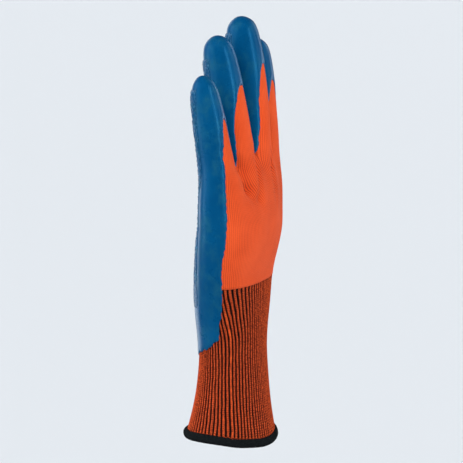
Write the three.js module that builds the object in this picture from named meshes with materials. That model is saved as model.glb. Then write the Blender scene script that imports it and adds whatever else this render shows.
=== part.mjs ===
// A knitted work glove for the left hand, as it stands when it is worn: a seamless knit shell with five
// fingers, a ribbed cuff with an overlocked hem, a smooth latex coat dipped over palm, sides and fingertips,
// and a second, crinkled grip coat on the palm and the insides of the fingers.
//
// Millimetres. The origin is the middle of the cuff's mouth, +Z runs towards the fingertips, +Y is the back
// of the hand, -Y the palm, +X the little-finger side and -X the thumb side.
//
// The knit's outer surface is one Catmull-Clark surface over a cage of quads: a tube of twenty columns for
// cuff and hand, which splits into four fingers of eight columns, and a thumb that grows out of a hole of
// two by two quads in its side. Every layer is cut from that surface and laid off along its normals.

import * as THREE from "three";

// Lengths along the glove.
const gloveLength = 270; // hem to the tip of the middle finger
const cuffLength = 104.5; // hem to the line where the ribs end
const wristHeight = 57; // hem to the narrowest place of the cuff
const palmLength = 77.5; // rib line to the crotch between ring and middle finger
const thumbLength = 64; // thumb crotch to thumb tip, along the thumb

// Girths of the knit, outside.
const mouthWidth = 74;
const mouthThickness = 53;
const wristWidth = 61;
const wristThickness = 39.3;
const handWidth = 95;
const handThickness = 37;
const handArch = 9; // how far the middle knuckles stand above the outer ones
const fingerPitch = 23.6; // between the middles of two fingers at the crotch
const fingerWidth = 20.4; // of the middle finger, and so is the thickness
const fingerThickness = 21;
const thumbWidth = 22;
const thumbThickness = 21;
const thumbSpread = 40; // degrees from the hand's own line

// Walls and layers, from the inside out.
const knitWall = 1.4;
const layerGap = 0.3; // between any two pieces
const coatWall = 0.6;
const gripWall = 0.8;

// Ribbed cuff and hem.
const cuffWall = 2.2; // over the ribs
const ribCount = 72;
const ribDepth = 0.8;
const hemHeight = 6.2;
const hemThickness = 5.6;
const hemStandOff = 2.2; // outside the cuff

// Where the coats end. Angles are degrees from the middle of the back, round the hand or the finger.
const coatSideAngle = 66; // below the knuckles
const coatTipDepth = 28; // how far the coat reaches down the back of a fingertip
const coatArchLength = 26; // from the top of a bare arch to its full width
const coatWristHeight = 53; // lowest place of the coat, in the middle of the palm
const coatSideRise = 9.5; // how much higher it ends at the side of the hand
const coatCornerRise = 5.8; // how much higher still its corner ends
const coatCornerAngle = 85; // where the corner is highest
const coatCornerSpan = 27; // degrees over which the corner rises
const gripTipDepth = 10; // from the fingertip to the grip coat
const gripHeelHeight = 87; // lowest place of the grip coat

const middleLength = gloveLength - cuffLength - palmLength;
const crotchHeight = cuffLength + palmLength;
const cuffBottom = hemHeight + layerGap;
const coatOffset = layerGap;
const gripOffset = layerGap + coatWall + layerGap;

// Cuff sections. up is a share of the stretch that it names, flare goes from 0 at the wrist to 1 at the
// mouth or at the hand, deep is a share of the thickness, coat is the coat's edge as a share of
// coatSideAngle, side and back move the section, as shares of the hand's width and thickness.
const lowerCuffRows = [
  { up: 0.0, flare: 1.0, deep: 1, coat: 1.33, side: 0, back: 0.015 },
  { up: 0.36, flare: 0.42, deep: 1, coat: 1.33, side: 0, back: 0.035 },
  { up: 0.7, flare: 0.1, deep: 1.03, coat: 1.33, side: 0, back: 0.05 },
];
const upperCuffRows = [
  { up: 0.0, flare: 0.0, deep: 1, coat: 1.33, side: 0, back: 0.05 },
  { up: 0.32, flare: 0.12, deep: 1.02, coat: 1.27, side: -0.002, back: 0.045 },
  { up: 0.605, flare: 0.34, deep: 1.09, coat: 1.15, side: -0.01, back: 0.035 },
];

// Hand sections from the rib line to the knuckles. up is a share of the palm's length, wide and thick are
// shares of the hand's, square is the section's exponent, 2 for an ellipse and more for a flatter one,
// thenar is how far the thumb side is pushed out towards the thumb, as a share of the hand's width, and
// cleft how deep the grooves between the knuckles are, as a share of its thickness.
const handRows = [
  {
    up: 0, wide: 0.887, thick: 1.02, coat: 1.11, side: -0.018,
    back: 0.055, arch: 0.02, square: 2.37, thenar: 0.03, cleft: 0,
  },
  {
    up: 0.095, wide: 0.918, thick: 1.03, coat: 1.14, side: -0.015,
    back: 0.08, arch: 0.06, square: 2.4, thenar: 0.05, cleft: 0,
  },
  {
    up: 0.28, wide: 0.96, thick: 1.05, coat: 1.09, side: -0.01,
    back: 0.145, arch: 0.25, square: 2.5, thenar: 0.1, cleft: 0,
  },
  {
    up: 0.485, wide: 0.98, thick: 0.99, coat: 1.02, side: -0.005,
    back: 0.215, arch: 0.5, square: 2.5, thenar: 0.03, cleft: 0.035,
  },
  {
    up: 0.74, wide: 0.99, thick: 0.91, coat: 0.98, side: 0,
    back: 0.25, arch: 0.85, square: 2.5, thenar: 0, cleft: 0.09,
  },
];

// Fingers from the little finger to the index. place is in pitches from the hand's middle, length, width
// and thick are shares of the middle finger's, point is how much thinner the tip is than a round one,
// spread and curl move the tip outwards and to the palm as shares of the finger's own length, bow is how
// late it curls, arch is the place on the knuckle arch, edge is the half angle of the bare arch on the
// back, foot is how far the finger starts below the crotch, as a share of the palm, and dip how far the
// coat reaches down its back, as a share of coatTipDepth.
const fingers = [
  {
    place: 1.5, length: 0.64, width: 0.91, thick: 0.99, point: 0.26, spread: 0.09,
    curl: 0.14, bow: 1.5, arch: 0.26, edge: 41, foot: 0.098, dip: 0.89,
  },
  {
    place: 0.5, length: 0.89, width: 0.97, thick: 1.05, point: 0.04, spread: 0.03,
    curl: 0.175, bow: 1.4, arch: 0.7, edge: 66, foot: 0.021, dip: 1.08,
  },
  {
    place: -0.5, length: 1, width: 1, thick: 1.09, point: 0.02, spread: -0.01,
    curl: 0.12, bow: 1.9, arch: 1, edge: 42, foot: 0, dip: 0.96,
  },
  {
    place: -1.5, length: 0.81, width: 0.97, thick: 1.02, point: 0, spread: -0.05,
    curl: 0.11, bow: 1.5, arch: 0.63, edge: 46, foot: 0.032, dip: 0.88,
  },
];

// Rings of a finger, at a share of its length, less some of its widths, with the girth as a share of its
// own and the share of its point that they take.
const fingerRings = [
  { along: 0.27, less: 0, girth: 1, tip: 0 },
  { along: 1, less: 0.52, girth: 0.98, tip: 0.6 },
  { along: 1, less: 0.11, girth: 0.62, tip: 1 },
];
const thumbRings = [
  { along: 0.26, less: 0, girth: 1.08, tip: 0 },
  { along: 1, less: 0.52, girth: 1, tip: 0.6 },
  { along: 1, less: 0.11, girth: 0.64, tip: 1 },
];

// The grip coat's edge, by the distance from the fingertip.
const gripEdges = [
  { reach: 12, angle: 112 },
  { reach: 45, angle: 130 },
  { reach: 145, angle: 128 },
  { reach: 200, angle: 119 },
];

// How far across the hand the nine columns of its back and of its palm lie, as shares of the half width.
const stations = [0.93, 0.735, 0.49, 0.245, 0, -0.245, -0.49, -0.735, -0.93];
const columns = 2 * stations.length + 2;
const cleftColumns = [3, 5, 7]; // the columns down the back between two knuckles
const sideU = 0; // the column down the little-finger side
const sideR = stations.length + 1; // the column down the thumb side
const backColumn = (i) => 1 + i;
const palmColumn = (i) => columns - 1 - i;
const farReach = 200; // stands for a place on the hand, far from any fingertip

const lerp = THREE.MathUtils.lerp;
const degrees = THREE.MathUtils.radToDeg;
const radians = THREE.MathUtils.degToRad;

// A ring of n control points has to be this much larger than the curve that it makes.
const swell = (n) => 6 / (4 + 2 * Math.cos((2 * Math.PI) / n));

// The knuckle arch: 0 at its foot and 1 at its top, which lies a little to the thumb side.
const archAt = (x) => {
  const share = x / (handWidth / 2) + 0.2;
  return 1 - 0.85 * share * share;
};

// The cage. A point is [x, y, z, turn, reach, edge, row]: turn is the angle from the middle of the back,
// reach the distance from the fingertip, edge the half angle of the bare back, row the tube's row.
const cagePoints = [];
const cageFaces = [];
const addPoint = (x, y, z, turn, reach, edge, row) =>
  cagePoints.push([x, y, z, turn, reach, edge, row]) - 1;
const addFace = (...corners) => cageFaces.push(corners);

// One row of the tube: a superellipse of twenty points.
function tubeRow(row, z, width, thickness, square, r) {
  const a = (swell(columns) * width) / 2;
  const b = (swell(columns) * thickness) / 2;
  const { side, back, coat, arch = 0, thenar = 0, cleft = 0 } = r;
  const make = (share, facing, turn, column) => {
    const x = side * handWidth + share * a - thenar * handWidth * Math.max(0, (-share - 0.5) / 0.5);
    const rise = facing * b * (1 - Math.abs(share) ** square) ** (1 / square);
    const groove = cleftColumns.includes(column) ? cleft : 0;
    const y = (back - groove) * handThickness + rise + arch * handArch * (archAt(x) - 0.6);
    return addPoint(x, y, z, turn, farReach, coat * coatSideAngle, row);
  };
  const turnAt = (share) => degrees(Math.asin(Math.abs(share)));
  const ring = [make(1, 0, 90)];
  stations.forEach((s, i) => ring.push(make(s, 1, turnAt(s), backColumn(i))));
  ring.push(make(-1, 0, 90));
  [...stations].reverse().forEach((s) => ring.push(make(s, -1, 180 - turnAt(s))));
  return ring;
}

const tube = [];
const stretch = (rows, from, to, size) =>
  rows.forEach((r) => {
    const [width, thickness, square] = size(r);
    tube.push(tubeRow(tube.length, lerp(from, to, r.up), width, thickness, square, r));
  });

const footWidth = handRows[0].wide * handWidth;
const footThickness = handRows[0].thick * handThickness;
stretch(lowerCuffRows, cuffBottom, wristHeight, (r) => [
  lerp(wristWidth, mouthWidth, r.flare),
  lerp(wristThickness, mouthThickness, r.flare) * r.deep,
  2.05,
]);
stretch(upperCuffRows, wristHeight, cuffLength, (r) => [
  lerp(wristWidth, footWidth, r.flare * 1.35),
  lerp(wristThickness, footThickness, r.flare * 1.35) * r.deep,
  lerp(2.1, handRows[0].square, r.up),
]);
const ribRow = tube.length; // the row of the rib line
stretch(handRows, cuffLength, crotchHeight, (r) => [
  r.wide * handWidth,
  r.thick * handThickness,
  r.square,
]);

// A finger's middle line: where it is at a share of its length above the crotch.
const fingerFoot = (f) => crotchHeight - f.foot * palmLength;
const fingerTop = (f) => crotchHeight + f.length * middleLength;
function fingerMiddle(f, along) {
  const run = fingerTop(f) - fingerFoot(f);
  return new THREE.Vector3(
    f.place * fingerPitch + f.spread * run * along,
    handThickness * 0.075 + handArch * f.arch - f.curl * run * along ** f.bow,
    fingerFoot(f) + run * along,
  );
}

// The crotch row, whose columns are shared by the fingers, and the three webs between them.
const crotchRow = new Array(columns);
const webs = [];
const cleftDrop = 0.054 * palmLength; // how much lower a crotch lies on the back of the hand
stations.forEach((s, i) => {
  const own = fingers[Math.min(3, i >> 1)];
  const next = fingers[Math.max(0, (i - 1) >> 1)];
  const middle = fingerMiddle(own, 0).add(fingerMiddle(next, 0)).multiplyScalar(0.5);
  const between = i % 2 === 0 && i > 0 && i < stations.length - 1;
  const outer = i === 0 ? 0.36 : i === stations.length - 1 ? -0.36 : 0;
  const x = middle.x + outer * fingerPitch;
  const half = (swell(8) * fingerThickness * (own.thick + next.thick)) / 4;
  const lift = between ? 0.72 : outer ? 0.7 : 1.04;
  const turn = between || outer ? 45 : 0;
  const reach = (fingerTop(own) + fingerTop(next)) / 2 - middle.z;
  const edge = (own.edge + next.edge) / 2;
  const drop = between ? cleftDrop : 0;
  const data = [reach, edge, tube.length];
  crotchRow[backColumn(i)] = addPoint(x, middle.y + half * lift, middle.z - drop, turn, ...data);
  crotchRow[palmColumn(i)] = addPoint(x, middle.y - half * lift, middle.z, 180 - turn, ...data);
  if (between) webs.push(addPoint(x, middle.y, middle.z - drop / 2, 90, ...data));
});
[
  [sideU, fingers[0], 0.5],
  [sideR, fingers[3], -0.5],
].forEach(([column, f, out]) => {
  const m = fingerMiddle(f, 0);
  const x = m.x + out * fingerPitch;
  crotchRow[column] = addPoint(x, m.y, m.z, 90, fingerTop(f) - m.z, f.edge, tube.length);
});
tube.push(crotchRow);

// The thumb's hole lies in the thumb side, between these rows.
const holeFoot = ribRow + 1;
const holeTop = holeFoot + 2;
const inHole = (row, column) =>
  row >= holeFoot && row < holeTop && (column === sideR - 1 || column === sideR);
for (let row = 0; row + 1 < tube.length; row++)
  for (let c = 0; c < columns; c++) {
    if (inHole(row, c)) continue;
    const n = (c + 1) % columns;
    addFace(tube[row][c], tube[row][n], tube[row + 1][n], tube[row + 1][c]);
  }

// Eight columns that grow from a loop of points along a middle line, and a cap of four quads. frameAt
// gives a ring's middle and the directions of its first point and of its back.
function growFinger(loop, rings, width, thickness, length, { point, edge, dip }, frameAt) {
  const spare = coatTipDepth * (1 - dip);
  const a = (swell(8) * width) / 2;
  const b = (swell(8) * thickness) / 2;
  const places = rings.map((r) => r.along - (r.less * width) / length);
  let below = loop;
  rings.forEach((r, i) => {
    const along = places[i];
    const girth = r.girth * (1 - r.tip * point);
    const { middle, first, back } = frameAt(along);
    const ring = below.map((_, j) => {
      const angle = radians(90 - 45 * j);
      const corner = j % 2 ? 1.05 : 1;
      const at = middle
        .clone()
        .addScaledVector(first, Math.sin(angle) * a * girth * corner)
        .addScaledVector(back, Math.cos(angle) * b * girth * corner);
      const turn = [90, 45, 0, 45, 90, 135, 180, 135][j];
      return addPoint(at.x, at.y, at.z, turn, length * (1 - along) + spare, edge, tube.length);
    });
    ring.forEach((_, j) => {
      const n = (j + 1) % 8;
      addFace(below[j], below[n], ring[n], ring[j]);
    });
    below = ring;
  });
  // The surface ends 4/9 of the way from the last ring to the cap's middle point.
  const last = places[places.length - 1];
  const { middle } = frameAt(last + ((1 - last) * 9) / 4);
  const tip = addPoint(middle.x, middle.y, middle.z, 90, spare, edge, tube.length);
  for (let j = 0; j < 8; j += 2) addFace(below[j], below[j + 1], below[(j + 2) % 8], tip);
}

const acrossHand = new THREE.Vector3(1, 0, 0);
fingers.forEach((f, i) => {
  const loop = [
    i === 0 ? crotchRow[sideU] : webs[i - 1],
    crotchRow[backColumn(2 * i)],
    crotchRow[backColumn(2 * i + 1)],
    crotchRow[backColumn(2 * i + 2)],
    i === 3 ? crotchRow[sideR] : webs[i],
    crotchRow[palmColumn(2 * i + 2)],
    crotchRow[palmColumn(2 * i + 1)],
    crotchRow[palmColumn(2 * i)],
  ];
  const length = fingerTop(f) - fingerFoot(f);
  const width = f.width * fingerWidth;
  const thickness = f.thick * fingerThickness;
  growFinger(loop, fingerRings, width, thickness, length, f, (along) => {
    const middle = fingerMiddle(f, along);
    const ahead = fingerMiddle(f, Math.min(along, 1) + 0.05).sub(fingerMiddle(f, Math.min(along, 1) - 0.05));
    const back = ahead.normalize().clone().cross(acrossHand).normalize();
    return { middle, first: back.clone().cross(ahead).normalize(), back };
  });
});

// The thumb: its line starts in the hole and bends a little to the hand's line.
const thumbStart = new THREE.Vector3(
  -0.6 * handWidth,
  -0.2 * handThickness,
  lerp(cuffLength, crotchHeight, 0.32),
);
const thumbBend = 14; // degrees that it turns back over its length
const thumbRoll = 28; // degrees that its back is turned outwards
const thumbPalmward = 0.25; // share of its length that it leans to the palm
function thumbFrame(along) {
  const lean = radians(thumbSpread - thumbBend * along);
  const aim = new THREE.Vector3(-Math.sin(lean), -thumbPalmward, Math.cos(lean)).normalize();
  const middle = thumbStart.clone().addScaledVector(aim, thumbLength * along);
  const up = new THREE.Vector3(Math.cos(lean), 0, Math.sin(lean));
  const roll = new THREE.Quaternion().setFromAxisAngle(aim, radians(thumbRoll * along));
  const back = aim.clone().cross(up).normalize().applyQuaternion(roll);
  return { middle, first: back.clone().cross(aim).normalize(), back };
}
const thumbLoop = [
  [holeTop, sideR],
  [holeTop, sideR - 1],
  [holeFoot + 1, sideR - 1],
  [holeFoot, sideR - 1],
  [holeFoot, sideR],
  [holeFoot, sideR + 1],
  [holeFoot + 1, sideR + 1],
  [holeTop, sideR + 1],
].map(([row, column]) => tube[row][column]);
const thumbShape = { point: 0, edge: 48, dip: 1 };
growFinger(thumbLoop, thumbRings, thumbWidth, thumbThickness, thumbLength, thumbShape, thumbFrame);

// One round of Catmull-Clark, on points of any number of values.
function subdivide(points, faces) {
  const size = points[0].length;
  const mean = (rows) =>
    Array.from({ length: size }, (_, k) => rows.reduce((s, r) => s + r[k], 0) / rows.length);
  const out = points.map(() => null);
  const faceAt = faces.map((f) => out.push(mean(f.map((v) => points[v]))) - 1);
  const edges = new Map();
  const touching = points.map(() => ({ faces: [], edges: [] }));
  faces.forEach((f, i) =>
    f.forEach((v, j) => {
      const w = f[(j + 1) % f.length];
      const key = Math.min(v, w) * points.length + Math.max(v, w);
      if (!edges.has(key)) {
        edges.set(key, { ends: [v, w], faces: [] });
        touching[v].edges.push(key);
        touching[w].edges.push(key);
      }
      edges.get(key).faces.push(i);
      touching[v].faces.push(i);
    }),
  );
  edges.forEach((e) => {
    const ends = e.ends.map((v) => points[v]);
    const inner = e.faces.length === 2 ? e.faces.map((i) => out[faceAt[i]]) : [];
    e.at = out.push(mean([...ends, ...inner])) - 1;
  });
  points.forEach((p, v) => {
    const around = touching[v].edges.map((key) => edges.get(key));
    const rim = around.filter((e) => e.faces.length === 1);
    if (rim.length) {
      const ends = mean(rim.map((e) => mean(e.ends.map((w) => points[w]))));
      out[v] = p.map((value, k) => (value + ends[k]) / 2);
      return;
    }
    const n = around.length;
    const f = mean(touching[v].faces.map((i) => out[faceAt[i]]));
    const r = mean(around.map((e) => mean(e.ends.map((w) => points[w]))));
    out[v] = p.map((value, k) => (f[k] + 2 * r[k] + (n - 3) * value) / n);
  });
  const edgeAt = (v, w) => edges.get(Math.min(v, w) * points.length + Math.max(v, w)).at;
  const quads = faces.flatMap((f, i) =>
    f.map((v, j) => {
      const before = f[(j + f.length - 1) % f.length];
      const after = f[(j + 1) % f.length];
      return [v, edgeAt(v, after), faceAt[i], edgeAt(before, v)];
    }),
  );
  return [out, quads];
}

// Moves each point of a mesh of quads to where endless subdivision would bring it.
function toLimit(points, faces) {
  const near = points.map(() => ({ beside: new Map(), across: [], n: 0 }));
  faces.forEach(([a, b, c, d]) =>
    [
      [a, b, c, d],
      [b, c, d, a],
      [c, d, a, b],
      [d, a, b, c],
    ].forEach(([v, next, far, before]) => {
      near[v].n += 1;
      near[v].across.push(far);
      [next, before].forEach((w) => near[v].beside.set(w, (near[v].beside.get(w) || 0) + 1));
    }),
  );
  return points.map((p, v) => {
    const { beside, across, n } = near[v];
    const rim = [...beside].filter(([, times]) => times === 1).map(([w]) => points[w]);
    if (rim.length) return p.map((value, k) => (4 * value + rim[0][k] + rim[1][k]) / 6);
    const sum = (list, k) => list.reduce((s, w) => s + points[w][k], 0);
    return p.map(
      (value, k) => (n * n * value + 4 * sum([...beside.keys()], k) + sum(across, k)) / (n * (n + 5)),
    );
  });
}

const [finePoints, fineFaces] = subdivide(cagePoints, cageFaces);
const limitPoints = toLimit(finePoints, fineFaces);

// The surface as vertices with normals, and as triangles.
const vertices = limitPoints.map(([x, y, z, turn, reach, edge, row]) => ({
  at: new THREE.Vector3(x, y, z),
  normal: new THREE.Vector3(),
  turn,
  reach,
  edge,
  row,
}));
fineFaces.forEach((f) =>
  f.forEach((v, j) => {
    const here = vertices[v].at;
    const next = vertices[f[(j + 1) % 4]].at.clone().sub(here);
    const before = vertices[f[(j + 3) % 4]].at.clone().sub(here);
    const corner = next.angleTo(before);
    vertices[v].normal.addScaledVector(next.cross(before).normalize(), corner);
  }),
);
vertices.forEach((v) => v.normal.normalize());
const triangles = fineFaces.flatMap(([a, b, c, d]) => {
  const short = vertices[a].at.distanceTo(vertices[c].at) <= vertices[b].at.distanceTo(vertices[d].at);
  return short ? [[a, b, c], [a, c, d]] : [[a, b, d], [b, c, d]];
});

// Where the smooth coat is: above 0. It leaves an arch bare on the back of each finger, and the back of the
// hand, and its lower end rises from the palm to the sides.
function coatField({ at, turn, reach, edge }) {
  const opening = THREE.MathUtils.clamp((reach - coatTipDepth) / coatArchLength, 0, 1);
  const bare = opening > 0 ? edge * Math.sqrt(opening) : reach - coatTipDepth;
  const side = coatSideRise * Math.cos(radians(Math.max(turn, 90) - 90)) ** 2;
  const corner = THREE.MathUtils.clamp(1 - (turn - coatCornerAngle) / coatCornerSpan, 0, 1);
  const lower = coatWristHeight + side + coatCornerRise * corner ** 1.3;
  return Math.min((turn - bare) / 10, (at.z - lower) / 4);
}

// Where the grip coat is: above 0.
function gripField({ at, turn, reach }) {
  let edge = gripEdges[0].angle;
  gripEdges.slice(1).forEach((high, i) => {
    const low = gripEdges[i];
    const share = (reach - low.reach) / (high.reach - low.reach);
    if (share > 0) edge = lerp(low.angle, high.angle, Math.min(1, share));
  });
  return Math.min((turn - edge) / 10, (reach - gripTipDepth) / 4, (at.z - gripHeelHeight) / 4);
}

const between = (a, b, t) => ({
  at: a.at.clone().lerp(b.at, t),
  normal: a.normal.clone().lerp(b.normal, t).normalize(),
});

// The part of the surface where field is above 0, as {points, faces}. Cuts that would leave a sliver go
// through the vertex itself.
function cutSurface(faces, field) {
  const value = vertices.map(field);
  const share = (a, b) => value[a] / (value[a] - value[b]);
  faces.forEach((t) =>
    t.forEach((a, j) => {
      const b = t[(j + 1) % 3];
      if (value[a] * value[b] >= 0) return;
      const s = share(a, b);
      if (s < 0.15) value[a] = 0;
      else if (s > 0.85) value[b] = 0;
    }),
  );
  const points = [];
  const index = new Map();
  const place = (key, make) => {
    if (!index.has(key)) index.set(key, points.push(make()) - 1);
    return index.get(key);
  };
  const cut = [];
  faces.forEach((t) => {
    if (!t.some((v) => value[v] > 0)) return;
    const polygon = [];
    t.forEach((a, j) => {
      const b = t[(j + 1) % 3];
      if (value[a] >= 0) polygon.push(place(`${a}`, () => vertices[a]));
      if (value[a] * value[b] < 0) {
        const [low, high] = a < b ? [a, b] : [b, a];
        polygon.push(place(`${low}-${high}`, () => between(vertices[low], vertices[high], share(low, high))));
      }
    });
    for (let k = 1; k + 1 < polygon.length; k++) cut.push([polygon[0], polygon[k], polygon[k + 1]]);
  });
  return { points, faces: cut };
}

// A closed body between two distances from a piece of the surface.
function layer({ points, faces }, inner, outer) {
  const count = points.length;
  const position = [outer, inner].flatMap((d) =>
    points.flatMap((p) => p.at.clone().addScaledVector(p.normal, d).toArray()),
  );
  const open = new Map();
  faces.forEach((t) =>
    t.forEach((a, j) => {
      const b = t[(j + 1) % 3];
      if (!open.delete(`${b}-${a}`)) open.set(`${a}-${b}`, [a, b]);
    }),
  );
  const index = [
    ...faces.flat(),
    ...faces.flatMap(([a, b, c]) => [c + count, b + count, a + count]),
    ...[...open.values()].flatMap(([a, b]) => [b, a, a + count, b, a + count, b + count]),
  ];
  return new THREE.BufferGeometry()
    .setAttribute("position", new THREE.Float32BufferAttribute(position, 3))
    .setIndex(index);
}

// A closed body swept round and round: rings of points, each joined to the next and the last to the first.
// Two rings of unequal count are joined by stepping along the one that is behind.
function ringBody(rings) {
  const starts = rings.map((_, r) => rings.slice(0, r).reduce((s, ring) => s + ring.length, 0));
  const index = rings.flatMap((ring, r) => {
    const next = (r + 1) % rings.length;
    const [n, m] = [ring.length, rings[next].length];
    const low = (i) => starts[r] + (i % n);
    const high = (j) => starts[next] + (j % m);
    const out = [];
    for (let i = 0, j = 0; i < n || j < m; ) {
      if (j === m || (i < n && (i + 1) * m <= (j + 1) * n)) {
        out.push(low(i), low(i + 1), high(j));
        i++;
      } else {
        out.push(low(i), high(j + 1), high(j));
        j++;
      }
    }
    return out;
  });
  return new THREE.BufferGeometry()
    .setAttribute("position", new THREE.Float32BufferAttribute(rings.flat().flatMap((p) => p.toArray()), 3))
    .setIndex(index);
}

// The tube's own rings, as smooth closed curves round the cuff.
const cuffCurves = [];
for (const row of [0, ribRow / 4, ribRow / 2, ribRow - 2, ribRow - 1, ribRow]) {
  const ring = vertices.filter((v) => Math.abs(v.row - row) < 0.01).map((v) => v.at);
  const start = ring.reduce((a, b) => (b.x > a.x ? b : a));
  const middle = ring.reduce((s, at) => s.add(at), new THREE.Vector3()).divideScalar(ring.length);
  const from = (at) => Math.atan2(at.y - middle.y, at.x - middle.x);
  const angle = (at) => THREE.MathUtils.euclideanModulo(from(at) - from(start) + 0.01, 2 * Math.PI);
  ring.sort((a, b) => angle(a) - angle(b));
  cuffCurves.push(new THREE.CatmullRomCurve3(ring, true));
}

// count points along a closed level curve, each moved outwards by offset(i).
function levelRing(curve, count, offset, rise = 0) {
  return Array.from({ length: count }, (_, i) => {
    const along = curve.getTangent(i / count);
    const outwards = new THREE.Vector3(along.y, -along.x, 0).normalize();
    const at = curve.getPoint(i / count).addScaledVector(outwards, offset(i));
    at.z += rise;
    return at;
  });
}

function knitShell() {
  const above = fineFaces.map((f) => f.every((v) => vertices[v].row >= ribRow - 0.01));
  const faces = triangles.filter((_, i) => above[i >> 1]);
  return layer(cutSurface(faces, () => 1), -knitWall, 0);
}

function latexCoat() {
  return layer(cutSurface(triangles, coatField), coatOffset, coatOffset + coatWall);
}

function gripCoat() {
  return layer(cutSurface(triangles, gripField), gripOffset, gripOffset + gripWall);
}

// The cuff's wall: ribs outside, smooth inside, with as many points on both so that the rims close.
function ribbedCuff() {
  const perRib = 2;
  const count = ribCount * perRib;
  const rise = (r) => (r === cuffCurves.length - 1 ? -layerGap : 0);
  const outer = cuffCurves.map((curve, r) =>
    levelRing(curve, count, (i) => -layerGap - (i % perRib) * ribDepth, rise(r)),
  );
  const inner = cuffCurves.map((curve, r) => levelRing(curve, ribCount, () => -cuffWall, rise(r)));
  return ringBody([...outer, ...inner.reverse()]);
}

const hemSteps = 36;
function hemBand() {
  const sides = 8;
  const middle = hemStandOff - hemThickness / 2;
  const rings = Array.from({ length: sides }, (_, k) => {
    const angle = (2 * Math.PI * k) / sides;
    const out = middle + (hemThickness / 2) * Math.cos(angle);
    const rise = hemHeight / 2 - cuffBottom + (hemHeight / 2) * Math.sin(angle);
    return levelRing(cuffCurves[0], hemSteps, () => out, rise);
  });
  return ringBody(rings);
}

const orangeKnit = new THREE.MeshStandardMaterial({ color: 0xf0602c, roughness: 0.9, metalness: 0 });
const blackOrangeRib = new THREE.MeshStandardMaterial({ color: 0x9c3d22, roughness: 0.95, metalness: 0 });
const blueLatex = new THREE.MeshStandardMaterial({ color: 0x0f5c96, roughness: 0.45, metalness: 0 });
const crinkledLatex = new THREE.MeshStandardMaterial({ color: 0x1c6aa3, roughness: 0.6, metalness: 0 });
const blackThread = new THREE.MeshStandardMaterial({ color: 0x14191b, roughness: 0.95, metalness: 0 });

const glove = new THREE.Group();
const addPiece = (name, geometry, material) => {
  const mesh = new THREE.Mesh(geometry, material);
  mesh.name = name;
  glove.add(mesh);
};
addPiece("knit_shell", knitShell(), orangeKnit);
addPiece("latex_coat", latexCoat(), blueLatex);
addPiece("grip_coat", gripCoat(), crinkledLatex);
addPiece("rib_cuff", ribbedCuff(), blackOrangeRib);
addPiece("hem_band", hemBand(), blackThread);

export default glove;
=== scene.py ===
import math

import bpy
import numpy as np
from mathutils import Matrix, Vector, noise


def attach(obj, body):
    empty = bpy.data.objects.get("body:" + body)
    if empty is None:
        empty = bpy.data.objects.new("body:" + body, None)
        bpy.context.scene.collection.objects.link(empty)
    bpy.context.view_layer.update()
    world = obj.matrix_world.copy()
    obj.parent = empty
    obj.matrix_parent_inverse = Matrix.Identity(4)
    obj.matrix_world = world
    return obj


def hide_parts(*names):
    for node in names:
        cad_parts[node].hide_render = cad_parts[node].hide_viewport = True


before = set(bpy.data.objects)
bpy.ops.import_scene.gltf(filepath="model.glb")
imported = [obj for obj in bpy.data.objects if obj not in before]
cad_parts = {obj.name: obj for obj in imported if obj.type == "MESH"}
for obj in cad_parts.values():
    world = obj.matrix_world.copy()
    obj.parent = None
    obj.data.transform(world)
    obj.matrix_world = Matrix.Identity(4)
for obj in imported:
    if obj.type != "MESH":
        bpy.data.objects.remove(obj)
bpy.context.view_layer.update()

# Millimetres until a mesh is made. +Z points to the fingertips, +Y out of the back of the hand
# and +X to the little finger.

glove = {
    "length": 270, "cuff": 104.5, "wrist": 57, "palm": 77.5, "thumb": 64,
    "mouthWidth": 74, "mouthThickness": 53, "wristWidth": 61, "wristThickness": 39.3,
    "handWidth": 95, "handThickness": 37, "handArch": 9,
    "fingerPitch": 23.6, "fingerWidth": 20.4, "fingerThickness": 21,
    "thumbWidth": 22, "thumbThickness": 21, "thumbSpread": 40, "thumbBend": 14,
    "thumbRoll": 28, "thumbPalmward": 0.25, "cleftDrop": 0.054,
    "hemHeight": 6.2, "gap": 0.3, "tipDepth": 28,
}
glove["crotch"] = glove["cuff"] + glove["palm"]
glove["middle"] = glove["length"] - glove["crotch"]
glove["cuffBottom"] = glove["hemHeight"] + glove["gap"]

# up, flare, deep, coat, side, back
lowerCuffRows = [
    (0, 1, 1, 1.33, 0, 0.015),
    (0.36, 0.42, 1, 1.33, 0, 0.035),
    (0.7, 0.1, 1.03, 1.33, 0, 0.05),
]
upperCuffRows = [
    (0, 0, 1, 1.33, 0, 0.05),
    (0.32, 0.12, 1.02, 1.27, -0.002, 0.045),
    (0.605, 0.34, 1.09, 1.15, -0.01, 0.035),
]
upperFlare, mouthSquare, wristSquare = 1.35, 2.05, 2.1
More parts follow.
